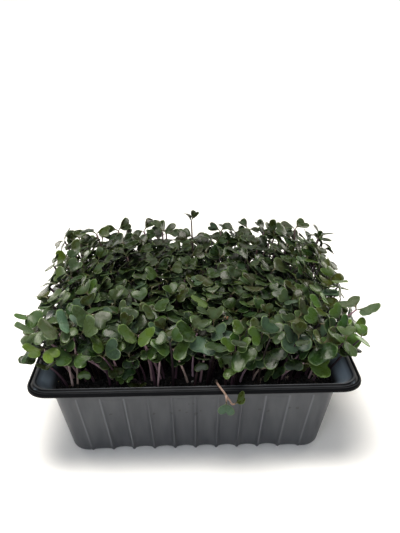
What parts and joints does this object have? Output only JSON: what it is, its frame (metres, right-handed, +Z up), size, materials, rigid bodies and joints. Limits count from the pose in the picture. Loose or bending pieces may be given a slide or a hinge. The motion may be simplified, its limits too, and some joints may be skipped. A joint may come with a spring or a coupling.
{
  "type": "potted red cabbage microgreens",
  "caption": "Rectangular ribbed plastic seed tray filled with growing medium and thickly sown with leafy cabbage seedlings; rests flat on a table or windowsill.",
  "frame": {"origin": "middle of the tray's flat base, on the surface it stands on", "axes": "+X along the tray's long side, +Y towards its back, +Z up"},
  "size_m": [0.2516, 0.1839, 0.1457],
  "materials": {
    "tray": "moulded dark grey polypropylene with a low sheen, fluted walls",
    "growing_medium": "damp dark peat-like growing medium, crumbly, with pale grit",
    "seedling": "waxy blue-green seed leaves with pale rims on dull purple-pink stems"
  },
  "bodies": {
    "root": {"tray": "tray", "growing_medium": "growing_medium", "fallen_seedling": "seedling", "seedling_clump_1_1": "seedling", "seedling_clump_1_2": "seedling", "seedling_clump_1_3": "seedling", "seedling_clump_1_4": "seedling", "seedling_clump_1_5": "seedling", "seedling_clump_1_6": "seedling", "seedling_clump_1_7": "seedling", "seedling_clump_2_1": "seedling", "seedling_clump_2_2": "seedling", "seedling_clump_2_3": "seedling", "seedling_clump_2_4": "seedling", "seedling_clump_2_5": "seedling", "seedling_clump_2_6": "seedling", "seedling_clump_2_7": "seedling", "seedling_clump_3_1": "seedling", "seedling_clump_3_2": "seedling", "seedling_clump_3_3": "seedling", "seedling_clump_3_4": "seedling", "seedling_clump_3_5": "seedling", "seedling_clump_3_6": "seedling", "seedling_clump_3_7": "seedling", "seedling_clump_4_1": "seedling", "seedling_clump_4_2": "seedling", "seedling_clump_4_3": "seedling", "seedling_clump_4_4": "seedling", "seedling_clump_4_5": "seedling", "seedling_clump_4_6": "seedling", "seedling_clump_4_7": "seedling", "seedling_clump_5_1": "seedling", "seedling_clump_5_2": "seedling", "seedling_clump_5_3": "seedling", "seedling_clump_5_4": "seedling", "seedling_clump_5_5": "seedling", "seedling_clump_5_6": "seedling", "seedling_clump_5_7": "seedling", "seedling_clump_6_1": "seedling", "seedling_clump_6_2": "seedling", "seedling_clump_6_3": "seedling", "seedling_clump_6_4": "seedling", "seedling_clump_6_5": "seedling", "seedling_clump_6_6": "seedling", "seedling_clump_6_7": "seedling"}
  },
  "joints": []
}
